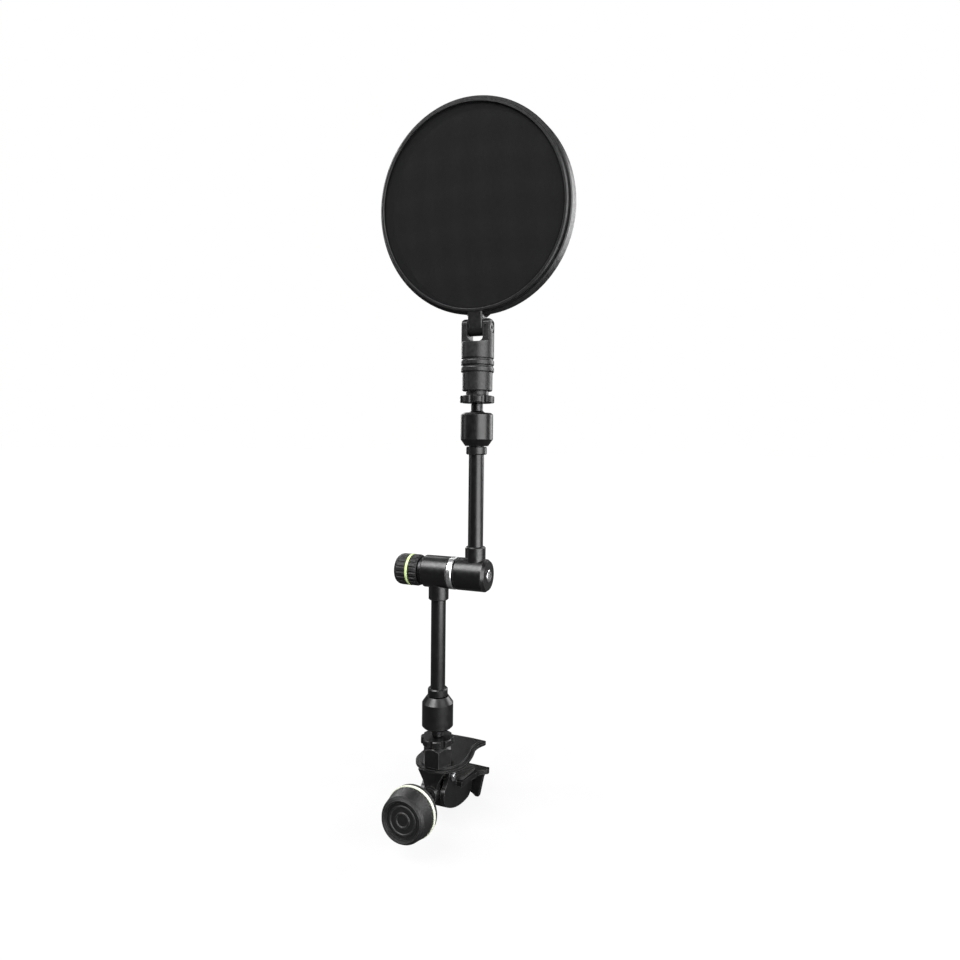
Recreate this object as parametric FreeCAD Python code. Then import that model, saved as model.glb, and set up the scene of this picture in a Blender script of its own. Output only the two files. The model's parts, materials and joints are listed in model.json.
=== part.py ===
import FreeCAD, Part
import math
import os

from FreeCAD import Placement, Rotation, Vector

# Pop filter: a round double-screen head on a two-piece locking arm with a jaw clamp.
# Millimetres.  +Z up, +X along the elbow axis, the head's front and the clamp knob face -Y.
# Origin: middle of the upper jaw's gripping face, which looks down (-Z).

# ---------------------------------------------------------------- driving dimensions
ARM_Y = -33.0             # the lower arm's axis stands this far behind the middle of the jaws
ELBOW_Z = 164.0           # height of the elbow axis above the gripping face
ARM_SPACING = 31.8        # distance between the two arm axes along the elbow

TUBE_R = 6.0
TUBE_BORE_R = 4.6
TUBE_START = 11.0         # distances along an arm are measured from the elbow axis
TUBE_END = 107.6
FERRULE_END = 22.6
SLEEVE_R = 8.15           # ferrule and tube collar
COLLAR_START = 95.3
COLLAR_END = 101.6
HOUSING_START = 102.0
HOUSING_CONE_END = 107.3
HOUSING_R = 12.75
HOUSING_END = 127.9
BALL_R = 9.5
BALL_T = 121.2
NECK_R = 4.7
NECK_END = 135.2
STUD_R = 3.15
STUD_END = 154.0
ROD_R = 2.4
ROD_TIP = 6.5
ROD_END = 109.2
PAD_START = 109.6
WHEEL_START = 135.7
WHEEL_THICK = 5.4
WHEEL_R = 13.5
WHEEL_LOBES = 8

BARREL_R = 13.0
BARREL_HALF = 11.7        # half the length of the lower arm's barrel
BARREL_BORE_R = 9.3
BOLT_R = 3.0
BOLT_HEAD_R = 4.8
RING_END = 16.1           # the bright friction ring fills from the lower barrel to here
UPPER_BARREL_START = 17.2
UPPER_BARREL_END = 40.6
END_CAP_FACE = 43.4
KNOB_REAR = -15.2         # centre knob, positions along the elbow axis
KNOB_RING_REAR = -22.7
KNOB_RING_FRONT = -24.8
KNOB_FACE = -36.0
KNOB_R = 12.8
KNOB_GROOVES = 20

YOKE_COLLAR_START = 141.6
YOKE_COLLAR_R = 8.9
YOKE_GRIP_START = 144.9
YOKE_GRIP_R = 11.8
YOKE_RIDGE_START = 159.1
YOKE_RIDGE_PITCH = 5.2
YOKE_R = 12.8
YOKE_TOP = 200.9
YOKE_FLAT_START = 182.0
SLOT_FLOOR = 183.0
SLOT_WIDTH = 13.0
PIVOT_T = 193.85
STEM_HALF_DEPTH = 6.2
STEM_WIDTH = 12.4

HEAD_LEAN = 8.2           # degrees, top of the head towards -Y
HEAD_CENTRE = 87.6        # from the head's pivot to the middle of the screens
HOOP_R = 77.7             # main hoop, outside
FRONT_RING_R = 75.4       # the front hoop stands proud of the main hoop and is a little smaller
LIP_R = 72.9
SCREEN_R = 74.1
HEAD_FRONT = -6.85        # depths through the head, negative towards the front
HEAD_SHOULDER = -3.6
FRONT_HOOP_BACK = -1.2
HEAD_BACK = 9.6
LIP_THICK = 1.25
SCREEN_THICK = 0.6

PLATE_BOTTOM = 2.6
FLANGE_TOP = 4.7          # the upper jaw's thin outer flange
PLATE_TOP = 6.2           # its raised middle
FLANGE_WIDTH = 3.4
PLATE_ROUND_R = 21.8
PLATE_ROUND_Y = -23.6
PLATE_NECK_HALF = 18.4
UPPER_NOSE_HALF = 22.0
LOWER_NOSE_HALF = 24.8
UPPER_NOSE_Y = 24.5       # front edge of the upper jaw
LOWER_NOSE_Y = 28.0
BOSS_FLATS = 21.4
BOSS_TOP = 22.4
BOSS_SHOULDER = 19.6
INSERT_FLOOR = 3.4
PAD_HALF_WIDTH = 14.6
PAD_LENGTH = 30.0
PAD_THICK = 2.6

JAW_PIVOT_Y = ARM_Y + 7.0
JAW_PIVOT_Z = -6.0
JAW_SLOPE = 6.6           # degrees, the open lower jaw falls towards its tip
JAW_TOP = -7.8            # the level jaw's top face below its pivot
JAW_NOSE = LOWER_NOSE_Y - JAW_PIVOT_Y
LIP_DROP = 33.2           # the lip's lower corners below the level jaw's pivot
CHEEK_HALF = 11.0
CHEEK_ROUND_R = 8.0       # the cheeks' round tops about the pivot
CHEEK_INSIDE = 7.4
LUG_HALF = 4.0
LUG_R = 4.6
PIN_R = 2.3

SCREW_TILT = 3.5          # degrees, the clamp screw falls away from its knob
SCREW_R = 3.5
BUSH_R = 4.9
BUSH_START = 46.0         # distances along the clamp screw start at the knob's face
BUSH_END = 56.0
KNOB_FACE_Y = ARM_Y - 62.0
KNOB_FACE_Z = -12.4
CLAMP_KNOB_R = 20.3
CLAMP_RING_START = 15.4
CLAMP_RING_END = 17.3
CLAMP_KNOB_BACK = 23.0
THRUST_NOSE_R = 4.4

RUNNING = 0.05            # radial clearance of a shaft that turns in a hole
TOUCH = 0.02              # gap between a sleeve and the tube it is fixed on


# ---------------------------------------------------------------- shape helpers
def cylinder(radius, start, end, x=0.0, y=0.0):
    """Round bar along +Z from start to end."""
    return Part.makeCylinder(radius, end - start, Vector(x, y, start))


def box(x0, x1, y0, y1, z0, z1):
    return Part.makeBox(x1 - x0, y1 - y0, z1 - z0, Vector(x0, y0, z0))


def turned(points):
    """Solid of revolution about Z from (radius, height) points."""
    corners = [Vector(r, 0, z) for r, z in points]
    wire = Part.makePolygon(corners + corners[:1])
    return Part.Face(wire).revolve(Vector(0, 0, 0), Vector(0, 0, 1), 360)


def fused(shapes):
    result = shapes[0].multiFuse(shapes[1:]) if len(shapes) > 1 else shapes[0]
    return result.removeSplitter()


def turned_shape(shape, axis, degrees, centre=Vector(0, 0, 0)):
    copy = shape.copy()
    copy.rotate(centre, axis, degrees)
    return copy


def moved(shape, x=0.0, y=0.0, z=0.0):
    copy = shape.copy()
    copy.translate(Vector(x, y, z))
    return copy


def along_x(shape):
    """Turn a shape built along +Z so that it runs along +X."""
    return turned_shape(shape, Vector(0, 1, 0), 90)


def hexagon(across_flats, start, end):
    radius = across_flats / 2 / math.cos(math.pi / 6)
    corners = [Vector(radius * math.cos(i * math.pi / 3), radius * math.sin(i * math.pi / 3), start)
               for i in range(6)]
    return Part.Face(Part.makePolygon(corners + corners[:1])).extrude(Vector(0, 0, end - start))


def grooved(shape, radius, depth, count, groove_r, start, end):
    """Cut evenly spaced round grooves along a knob's side."""
    cutters = []
    for i in range(count):
        angle = 2 * math.pi * i / count
        reach = radius - depth + groove_r
        cutters.append(cylinder(groove_r, start, end, reach * math.cos(angle), reach * math.sin(angle)))
    return shape.cut(Part.makeCompound(cutters))


def smooth_outline(points, height, thickness):
    """Extrude a closed outline given as straight points and ('arc', through, end) steps."""
    edges = []
    here = Vector(points[0][0], points[0][1], height)
    first = here
    for step in points[1:]:
        if step[0] == "arc":
            through = Vector(step[1][0], step[1][1], height)
            end = Vector(step[2][0], step[2][1], height)
            edges.append(Part.Arc(here, through, end).toShape())
        else:
            end = Vector(step[0], step[1], height)
            edges.append(Part.makeLine(here, end))
        here = end
    if here.distanceToPoint(first) > 1e-6:
        edges.append(Part.makeLine(here, first))
    return Part.Face(Part.Wire(edges)).extrude(Vector(0, 0, thickness))


# ---------------------------------------------------------------- placing
def on_upper_arm(shape):
    """Shapes built along +Z with the elbow axis at zero, placed on the upper arm's axis."""
    return moved(shape, ARM_SPACING, ARM_Y, ELBOW_Z)


def on_lower_arm(shape):
    """The same shape hanging down from the elbow on the lower arm's axis."""
    return moved(turned_shape(shape, Vector(1, 0, 0), 180), 0, ARM_Y, ELBOW_Z)


def on_elbow(shape):
    """Shapes turned about Z, laid along the elbow axis."""
    return moved(along_x(shape), 0, ARM_Y, ELBOW_Z)


def on_head(shape):
    """Shapes with the head's pivot at zero and the head upright, leaned into place."""
    leaned = turned_shape(shape, Vector(1, 0, 0), HEAD_LEAN)
    return moved(leaned, ARM_SPACING, ARM_Y, ELBOW_Z + PIVOT_T)


def on_jaw(shape):
    """Shapes with the jaw's pivot at zero and the jaw level, dropped into the open pose."""
    dropped = turned_shape(shape, Vector(1, 0, 0), -JAW_SLOPE)
    return moved(dropped, 0, JAW_PIVOT_Y, JAW_PIVOT_Z)


def on_screw(shape):
    """Shapes built along +Z from the clamp knob's face, laid along the clamp screw."""
    laid = turned_shape(shape, Vector(1, 0, 0), -90 - SCREW_TILT)
    return moved(laid, 0, KNOB_FACE_Y, KNOB_FACE_Z)


# ---------------------------------------------------------------- arm pieces, built along +Z
def arm_tube():
    return cylinder(TUBE_R, TUBE_START, TUBE_END).cut(cylinder(TUBE_BORE_R, TUBE_START, TUBE_END))


def arm_ferrule():
    sleeve = turned([(TUBE_R + TOUCH, 6.0), (SLEEVE_R, 6.0), (SLEEVE_R, FERRULE_END - 0.8),
                     (SLEEVE_R - 0.8, FERRULE_END), (TUBE_R + TOUCH, FERRULE_END)])
    barrel = Part.makeCylinder(BARREL_R + TOUCH, 40, Vector(-20, 0, 0), Vector(1, 0, 0))
    return sleeve.cut(barrel)


def tube_collar():
    return turned([(TUBE_R + TOUCH, COLLAR_START), (SLEEVE_R - 0.8, COLLAR_START),
                   (SLEEVE_R, COLLAR_START + 0.8), (SLEEVE_R, COLLAR_END - 0.6),
                   (SLEEVE_R - 0.6, COLLAR_END), (TUBE_R + TOUCH, COLLAR_END)])


def ball_housing():
    """Socket with a tapered foot, a round chamber and a lip that keeps the ball in."""
    outside = turned([(0, HOUSING_START), (9.0, HOUSING_START), (HOUSING_R, HOUSING_CONE_END),
                      (HOUSING_R, HOUSING_END - 1.4), (HOUSING_R - 1.4, HOUSING_END), (0, HOUSING_END)])
    chamber_r = BALL_R + 0.1
    bore = cylinder(TUBE_R + TOUCH, HOUSING_START - 1, TUBE_END + 0.2)
    chamber = cylinder(chamber_r, TUBE_END + 0.9, BALL_T)
    seat = Part.makeSphere(chamber_r, Vector(0, 0, BALL_T))
    mouth = cylinder(7.9, BALL_T, HOUSING_END + 1)
    throat = turned([(0, TUBE_END), (TUBE_R - 0.5, TUBE_END), (chamber_r, TUBE_END + 1.0),
                     (0, TUBE_END + 1.0)])
    return outside.cut(fused([bore, chamber, seat, mouth, throat]))


def ball_pad():
    """Pressure cup between the push rod and the ball."""
    cup_r = BALL_R + 0.3
    blank = turned([(0, PAD_START), (8.2, PAD_START), (9.25, PAD_START + 1.0), (9.25, PAD_START + 6.6),
                    (0, PAD_START + 6.6)])
    return blank.cut(Part.makeSphere(cup_r, Vector(0, 0, BALL_T)))


def ball_stud():
    """Ball, neck and threaded end in one turned piece."""
    ball = Part.makeSphere(BALL_R, Vector(0, 0, BALL_T))
    neck = turned([(0, BALL_T), (NECK_R, BALL_T), (NECK_R, NECK_END - 0.5), (NECK_R - 0.5, NECK_END),
                   (STUD_R, NECK_END), (STUD_R, STUD_END - 0.6), (STUD_R - 0.6, STUD_END), (0, STUD_END)])
    return fused([ball, neck])


def lock_wheel():
    """Notched lock nut on the stud."""
    end = WHEEL_START + WHEEL_THICK
    blank = turned([(0, WHEEL_START), (WHEEL_R - 0.6, WHEEL_START), (WHEEL_R, WHEEL_START + 0.6),
                    (WHEEL_R, end - 0.6), (WHEEL_R - 0.6, end), (0, end)])
    blank = grooved(blank, WHEEL_R, 1.9, WHEEL_LOBES, 2.2, WHEEL_START - 1, end + 1)
    return blank.cut(cylinder(STUD_R + RUNNING, WHEEL_START - 1, end + 1))


def push_rod():
    tip = Part.makeSphere(ROD_R, Vector(0, 0, ROD_TIP + ROD_R))
    shaft = cylinder(ROD_R, ROD_TIP + ROD_R, ROD_END)
    return fused([tip, shaft])


def rod_guides():
    """Two plastic bushes that keep the push rod central in the tube."""
    return Part.makeCompound([
        cylinder(TUBE_BORE_R - TOUCH, start, start + 8).cut(cylinder(ROD_R + TOUCH, start, start + 8))
        for start in (TUBE_START + 2, TUBE_END - 12)])


# ---------------------------------------------------------------- elbow pieces, built along +Z
def barrel_blank(start, end, chamfer_start, chamfer_end):
    return turned([(0, start), (BARREL_R - chamfer_start, start), (BARREL_R, start + chamfer_start),
                   (BARREL_R, end - chamfer_end), (BARREL_R - chamfer_end, end), (0, end)])


def bolt_hole(start, end):
    return cylinder(BOLT_R + RUNNING, start, end)


def lower_barrel():
    """Closed towards the knob, open towards the friction ring, bored for the tube."""
    blank = barrel_blank(-BARREL_HALF, BARREL_HALF, 1.0, 0.5)
    cavity = cylinder(BARREL_BORE_R, -8.5, BARREL_HALF)
    body = along_x(blank.cut(fused([cavity, bolt_hole(-BARREL_HALF, 0)])))
    body = body.cut(Part.makeCylinder(TUBE_R + TOUCH, 30, Vector(0, 0, 0), Vector(0, 0, -1)))
    return moved(body, 0, ARM_Y, ELBOW_Z)


def upper_barrel():
    """Closed towards the friction ring by a spigot wall, open towards the end cap."""
    shell = barrel_blank(UPPER_BARREL_START, UPPER_BARREL_END, 0.8, 0.0)
    spigot = cylinder(11.4, RING_END + 0.3, UPPER_BARREL_START)
    cavity = cylinder(BARREL_BORE_R, 20.0, UPPER_BARREL_END)
    blank = fused([shell, spigot]).cut(fused([cavity, bolt_hole(RING_END, 21)]))
    body = along_x(blank)
    body = body.cut(Part.makeCylinder(TUBE_R + TOUCH, 30, Vector(ARM_SPACING, 0, 0), Vector(0, 0, 1)))
    return moved(body, 0, ARM_Y, ELBOW_Z)


def friction_ring():
    rim = turned([(0, BARREL_HALF), (BARREL_R - 0.2, BARREL_HALF), (BARREL_R + 0.15, BARREL_HALF + 0.4),
                  (BARREL_R + 0.15, RING_END - 0.4), (BARREL_R - 0.2, RING_END), (0, RING_END)])
    spigot = cylinder(BARREL_BORE_R - TOUCH, BARREL_HALF - 1.6, BARREL_HALF)
    return on_elbow(fused([rim, spigot]).cut(bolt_hole(BARREL_HALF - 3, RING_END + 1)))


def end_cap():
    """Bevelled lid with a round seat for the bolt head."""
    lid = turned([(0, UPPER_BARREL_END), (BARREL_R, UPPER_BARREL_END), (BARREL_R, UPPER_BARREL_END + 0.6),
                  (BARREL_R - 1.6, END_CAP_FACE), (0, END_CAP_FACE)])
    spigot = cylinder(BARREL_BORE_R - TOUCH, UPPER_BARREL_END - 1.6, UPPER_BARREL_END)
    seat = cylinder(BOLT_HEAD_R + 0.2, END_CAP_FACE - 1.6, END_CAP_FACE + 1)
    return on_elbow(fused([lid, spigot]).cut(fused([seat, cylinder(BOLT_R + TOUCH, 30, 50)])))


def centre_bolt():
    """Long bolt with a low round head and a hexagon socket."""
    shank = turned([(0, -27.5), (BOLT_R - 0.6, -27.5), (BOLT_R, -26.9), (BOLT_R, END_CAP_FACE - 1.58),
                    (0, END_CAP_FACE - 1.58)])
    edge = BOLT_HEAD_R
    head = turned([(0, END_CAP_FACE - 1.58), (edge, END_CAP_FACE - 1.58), (edge, END_CAP_FACE + 0.3),
                   (edge - 0.6, END_CAP_FACE + 0.8), (0, END_CAP_FACE + 0.8)])
    socket = hexagon(3.5, END_CAP_FACE - 0.9, END_CAP_FACE + 2)
    return on_elbow(fused([shank, head]).cut(socket))


def wedge(middle, narrow_end):
    """Cone on the centre bolt that drives a push rod outwards."""
    half = 6.6
    slope = [(BOLT_R + 0.1, -half), (4.6, -half), (7.9, half), (BOLT_R + 0.1, half)]
    cone = turned(slope)
    if narrow_end > 0:
        cone = turned_shape(cone, Vector(1, 0, 0), 180)
    return on_elbow(moved(cone, 0, 0, middle))


def thrust_washer():
    return on_elbow(turned([(BOLT_R + 0.1, -BARREL_HALF - 3.2), (10.2, -BARREL_HALF - 3.2),
                            (10.6, -BARREL_HALF - 2.8), (10.6, -BARREL_HALF),
                            (BOLT_R + 0.1, -BARREL_HALF)]))


def centre_knob_nut():
    nut = hexagon(10.0, -28.5, KNOB_REAR - 0.4)
    return on_elbow(nut.cut(cylinder(BOLT_R + RUNNING, -29, -10)))


def centre_knob_front():
    """Crowned half of the knob, with the spigot that carries the coloured ring."""
    crown = turned([(0, KNOB_FACE + 1.0), (6.6, KNOB_FACE + 1.0), (7.4, KNOB_FACE), (9.4, KNOB_FACE),
                    (11.3, KNOB_FACE + 0.9), (12.4, KNOB_FACE + 2.6), (KNOB_R, KNOB_FACE + 4.6),
                    (KNOB_R, KNOB_RING_FRONT - 0.4), (KNOB_R - 0.4, KNOB_RING_FRONT), (0, KNOB_RING_FRONT)])
    crown = grooved(crown, KNOB_R, 0.6, KNOB_GROOVES, 1.1, KNOB_FACE + 3.4, KNOB_RING_FRONT - 0.8)
    spigot = cylinder(9.4, KNOB_RING_FRONT, KNOB_RING_REAR - TOUCH)
    return on_elbow(fused([crown, spigot]).cut(hexagon(10.1, -28.6, KNOB_RING_REAR)))


def centre_knob_ring():
    rim = turned([(9.45, KNOB_RING_FRONT + 0.05), (KNOB_R, KNOB_RING_FRONT + 0.05),
                  (KNOB_R + 0.15, KNOB_RING_FRONT + 0.5), (KNOB_R + 0.15, KNOB_RING_REAR - 0.5),
                  (KNOB_R, KNOB_RING_REAR - 0.05), (9.45, KNOB_RING_REAR - 0.05)])
    return on_elbow(rim)


def centre_knob_rear():
    skirt = turned([(0, KNOB_RING_REAR), (KNOB_R - 0.4, KNOB_RING_REAR), (KNOB_R, KNOB_RING_REAR + 0.4),
                    (KNOB_R, KNOB_REAR - 2.0), (KNOB_R - 0.9, KNOB_REAR), (0, KNOB_REAR)])
    skirt = grooved(skirt, KNOB_R, 0.8, KNOB_GROOVES, 1.2, KNOB_RING_REAR + 0.9, KNOB_REAR + 1)
    return on_elbow(skirt.cut(hexagon(10.1, KNOB_RING_REAR - 1, KNOB_REAR + 1)))


# ---------------------------------------------------------------- yoke, built along +Z
def yoke_profile():
    """Turned outline: collar, grip, two rounded ridges and the round-shouldered fork."""
    def line(r0, z0, r1, z1):
        return Part.makeLine(Vector(r0, 0, z0), Vector(r1, 0, z1))

    def arc(r0, z0, rm, zm, r1, z1):
        return Part.Arc(Vector(r0, 0, z0), Vector(rm, 0, zm), Vector(r1, 0, z1)).toShape()

    groove_r = YOKE_GRIP_R + 0.1
    ridge_r = YOKE_R + 0.15
    edges = [line(0, YOKE_COLLAR_START, YOKE_COLLAR_R, YOKE_COLLAR_START),
             line(YOKE_COLLAR_R, YOKE_COLLAR_START, YOKE_COLLAR_R, YOKE_GRIP_START),
             line(YOKE_COLLAR_R, YOKE_GRIP_START, YOKE_GRIP_R - 0.6, YOKE_GRIP_START),
             line(YOKE_GRIP_R - 0.6, YOKE_GRIP_START, YOKE_GRIP_R, YOKE_GRIP_START + 0.6),
             line(YOKE_GRIP_R, YOKE_GRIP_START + 0.6, groove_r, YOKE_RIDGE_START)]
    z = YOKE_RIDGE_START
    for _ in range(2):
        top = z + YOKE_RIDGE_PITCH
        edges.append(arc(groove_r, z, groove_r + 0.8, z + 0.5, ridge_r, z + 1.3))
        edges.append(line(ridge_r, z + 1.3, ridge_r, top - 1.9))
        edges.append(arc(ridge_r, top - 1.9, groove_r + 0.8, top - 1.1, groove_r, top - 0.6))
        edges.append(line(groove_r, top - 0.6, groove_r, top))
        z = top
    edges.append(arc(groove_r, z, groove_r + 0.6, z + 0.4, YOKE_R, z + 1.2))
    edges.append(line(YOKE_R, z + 1.2, YOKE_R, YOKE_TOP - 4.0))
    edges.append(arc(YOKE_R, YOKE_TOP - 4.0, YOKE_R - 1.2, YOKE_TOP - 1.2, YOKE_R - 4.0, YOKE_TOP))
    edges.append(line(YOKE_R - 4.0, YOKE_TOP, 0, YOKE_TOP))
    edges.append(line(0, YOKE_TOP, 0, YOKE_COLLAR_START))
    return Part.Face(Part.Wire(edges)).revolve(Vector(0, 0, 0), Vector(0, 0, 1), 360)


def slot_cutter():
    half = SLOT_WIDTH / 2
    block = box(-half, half, -20, 20, SLOT_FLOOR, YOKE_TOP + 10)
    floor_edges = [edge for edge in block.Edges
                   if abs(edge.CenterOfMass.z - SLOT_FLOOR) < 0.01 and abs(edge.CenterOfMass.y) < 0.01]
    return block.makeFillet(3.4, floor_edges)


def yoke_body():
    body = yoke_profile()
    for side in (-1, 1):
        y0, y1 = sorted((side * STEM_HALF_DEPTH, side * 20))
        flat = box(-20, 20, y0, y1, YOKE_FLAT_START, YOKE_TOP + 5)
        foot = [edge for edge in flat.Edges
                if abs(edge.CenterOfMass.z - YOKE_FLAT_START) < 0.01
                and abs(edge.CenterOfMass.y - side * STEM_HALF_DEPTH) < 0.01]
        body = body.cut(flat.makeFillet(1.2, foot))
    crown = Part.makeCylinder(YOKE_TOP - PIVOT_T, 40, Vector(-20, 0, PIVOT_T), Vector(1, 0, 0))
    above = box(-20, 20, -20, 20, PIVOT_T, YOKE_TOP + 5)
    body = body.cut(above.cut(crown)).cut(slot_cutter())
    # shallow rounded panels in the front and back faces of both ears
    for x in (-8.6, 8.6):
        for y0 in (-STEM_HALF_DEPTH - 0.1, STEM_HALF_DEPTH - 0.7):
            panel = Part.makeCompound([box(x - 1.25, x + 1.25, y0, y0 + 0.8, 187.2, 194.6)])
            for z in (187.2, 194.6):
                panel = panel.fuse(Part.makeCylinder(1.25, 0.8, Vector(x, y0, z), Vector(0, 1, 0)))
            body = body.cut(panel)
    body = body.cut(cylinder(5.0, YOKE_COLLAR_START - 1, 157.0))
    bore = Part.makeCylinder(2.5 + TOUCH, 40, Vector(-20, 0, PIVOT_T), Vector(1, 0, 0))
    head_seat = Part.makeCylinder(4.4, 10, Vector(9.0, 0, PIVOT_T), Vector(1, 0, 0))
    nut_seat = moved(along_x(hexagon(8.1, -20, -8.5)), 0, 0, PIVOT_T)
    return on_upper_arm(body.cut(fused([bore, head_seat])).cut(nut_seat))


def yoke_insert():
    sleeve = cylinder(5.0 - TOUCH, YOKE_COLLAR_START, 156.5)
    return on_upper_arm(sleeve.cut(cylinder(STUD_R + RUNNING, YOKE_COLLAR_START - 1, 158)))


def yoke_pivot_screw():
    shank = cylinder(2.5, -10.8, 9.02)
    head = turned([(0, 9.02), (4.3, 9.02), (4.3, 11.0), (3.6, 11.7), (0, 11.7)])
    socket = hexagon(3.0, 10.2, 13)
    screw = moved(along_x(fused([shank, head]).cut(socket)), 0, 0, PIVOT_T)
    return on_upper_arm(screw)


def yoke_pivot_nut():
    nut = hexagon(8.0, -11.4, -8.52).cut(cylinder(2.5 + TOUCH, -13, -7))
    return on_upper_arm(moved(along_x(nut), 0, 0, PIVOT_T))


# ---------------------------------------------------------------- head, built with its pivot at zero
def head_disc(points):
    """Turn (radius, depth) points about the head's own axis; negative depth is the front."""
    solid = turned([(r, -d) for r, d in points])
    return moved(turned_shape(solid, Vector(1, 0, 0), 90), 0, 0, HEAD_CENTRE)


def stem(y0, y1, rounded_y):
    """Half of the tongue below a hoop, with a round end about the pivot."""
    half = STEM_WIDTH / 2
    shaft = box(-half, half, y0, y1, 0, HEAD_CENTRE - FRONT_RING_R + 0.6)
    outer = [edge for edge in shaft.Edges
             if abs(edge.CenterOfMass.y - rounded_y) < 0.01 and abs(abs(edge.CenterOfMass.x) - half) < 0.01]
    shaft = shaft.makeFillet(1.9, outer)
    end = Part.makeCylinder(STEM_HALF_DEPTH, STEM_WIDTH, Vector(-half, 0, 0), Vector(1, 0, 0))
    end = end.common(box(-20, 20, y0, y1, -20, 0.01))
    hole = Part.makeCylinder(2.58, 40, Vector(-20, 0, 0), Vector(1, 0, 0))
    return fused([shaft, end]).cut(hole)


def gusset(y0, y1):
    """Small flare that blends the tongue into the main hoop."""
    half = STEM_WIDTH / 2
    top = HEAD_CENTRE - HOOP_R
    outline = [(-half - 3.6, top + 1.0), (-half, top - 1.8), (half, top - 1.8), (half + 3.6, top + 1.0)]
    corners = [Vector(x, y0, z) for x, z in outline]
    return Part.Face(Part.makePolygon(corners + corners[:1])).extrude(Vector(0, y1 - y0, 0))


def head_inside():
    """Everything inside the hoops, to trim what is fused on below them."""
    return head_disc([(0, -30), (SCREEN_R + 0.1, -30), (SCREEN_R + 0.1, 30), (0, 30)])


def front_hoop():
    """Retaining ring pressed into the main hoop, with the front half of the tongue."""
    face = HEAD_FRONT
    ring = head_disc([(LIP_R, face + 0.3), (LIP_R + 0.3, face), (FRONT_RING_R - 0.9, face),
                      (FRONT_RING_R, face + 0.9), (FRONT_RING_R, FRONT_HOOP_BACK),
                      (SCREEN_R + 0.1, FRONT_HOOP_BACK), (SCREEN_R + 0.1, face + LIP_THICK),
                      (LIP_R, face + LIP_THICK)])
    main_hoop = head_disc([(50, HEAD_SHOULDER - TOUCH), (HOOP_R + TOUCH, HEAD_SHOULDER - TOUCH),
                           (HOOP_R + TOUCH, 30), (50, 30)])
    tongue = stem(-STEM_HALF_DEPTH, -0.05, -STEM_HALF_DEPTH).cut(main_hoop).cut(head_inside())
    return on_head(fused([ring, tongue]))


def rear_hoop():
    """Main hoop: deep band with a shoulder behind the front ring, a back lip and half the tongue."""
    bore = FRONT_RING_R + TOUCH
    back = HEAD_BACK
    ring = head_disc([(bore, HEAD_SHOULDER), (HOOP_R - 0.8, HEAD_SHOULDER), (HOOP_R, HEAD_SHOULDER + 0.8),
                      (HOOP_R, back - 1.6), (HOOP_R - 0.5, back - 0.5), (HOOP_R - 1.6, back),
                      (LIP_R + 0.3, back), (LIP_R, back - 0.3), (LIP_R, back - LIP_THICK),
                      (SCREEN_R + 0.1, back - LIP_THICK), (SCREEN_R + 0.1, FRONT_HOOP_BACK + TOUCH),
                      (bore, FRONT_HOOP_BACK + TOUCH)])
    tongue = fused([stem(0.05, STEM_HALF_DEPTH, STEM_HALF_DEPTH), gusset(0.05, 5.6)])
    return on_head(fused([ring, tongue.cut(head_inside())]))


def spacer_ring():
    """Keeps the two screens apart."""
    front = HEAD_FRONT + LIP_THICK + SCREEN_THICK + 0.1
    back = HEAD_BACK - LIP_THICK - SCREEN_THICK - 0.1
    return on_head(head_disc([(71.6, front), (SCREEN_R, front), (SCREEN_R, back), (71.6, back)]))


def front_screen():
    start = HEAD_FRONT + LIP_THICK + 0.05
    return on_head(head_disc([(0, start), (SCREEN_R, start), (SCREEN_R, start + SCREEN_THICK),
                              (0, start + SCREEN_THICK)]))


def rear_screen():
    end = HEAD_BACK - LIP_THICK - 0.05
    return on_head(head_disc([(0, end - SCREEN_THICK), (SCREEN_R, end - SCREEN_THICK), (SCREEN_R, end),
                              (0, end)]))


# ---------------------------------------------------------------- clamp
def jaw_outline(rear, half_rear, shoulder, nose, half_nose, height, thickness):
    """Plate with a round rear end, sides that narrow at the shoulder and a flared nose."""
    neck = PLATE_NECK_HALF
    bend = (half_rear - 0.3 * (half_rear - neck), (shoulder + nose - 20) / 2)
    return smooth_outline([
        (-half_rear, rear), ("arc", (0, rear - half_rear), (half_rear, rear)), (half_rear, shoulder),
        ("arc", bend, (neck, nose - 20)), ("arc", (neck + 1.0, nose - 12), (half_nose - 0.8, nose - 7.5)),
        ("arc", (half_nose, nose - 4.6), (half_nose - 1.4, nose - 1.2)),
        ("arc", (0, nose), (-half_nose + 1.4, nose - 1.2)),
        ("arc", (-half_nose, nose - 4.6), (-half_nose + 0.8, nose - 7.5)),
        ("arc", (-neck - 1.0, nose - 12), (-neck, nose - 20)),
        ("arc", (-bend[0], bend[1]), (-half_rear, shoulder))], height, thickness)


def clamp_neck():
    """Funnel-shaped web from the plate down to the screw's nut."""
    outline = [(-11.5, PLATE_BOTTOM + 1), (11.5, PLATE_BOTTOM + 1), (6.8, -5.0), (5.6, -9.0), (5.6, -19.0),
               (-5.6, -19.0), (-5.6, -9.0), (-6.8, -5.0)]
    corners = [Vector(x, ARM_Y - 12.0, z) for x, z in outline]
    return Part.Face(Part.makePolygon(corners + corners[:1])).extrude(Vector(0, 6.0, 0))


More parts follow.
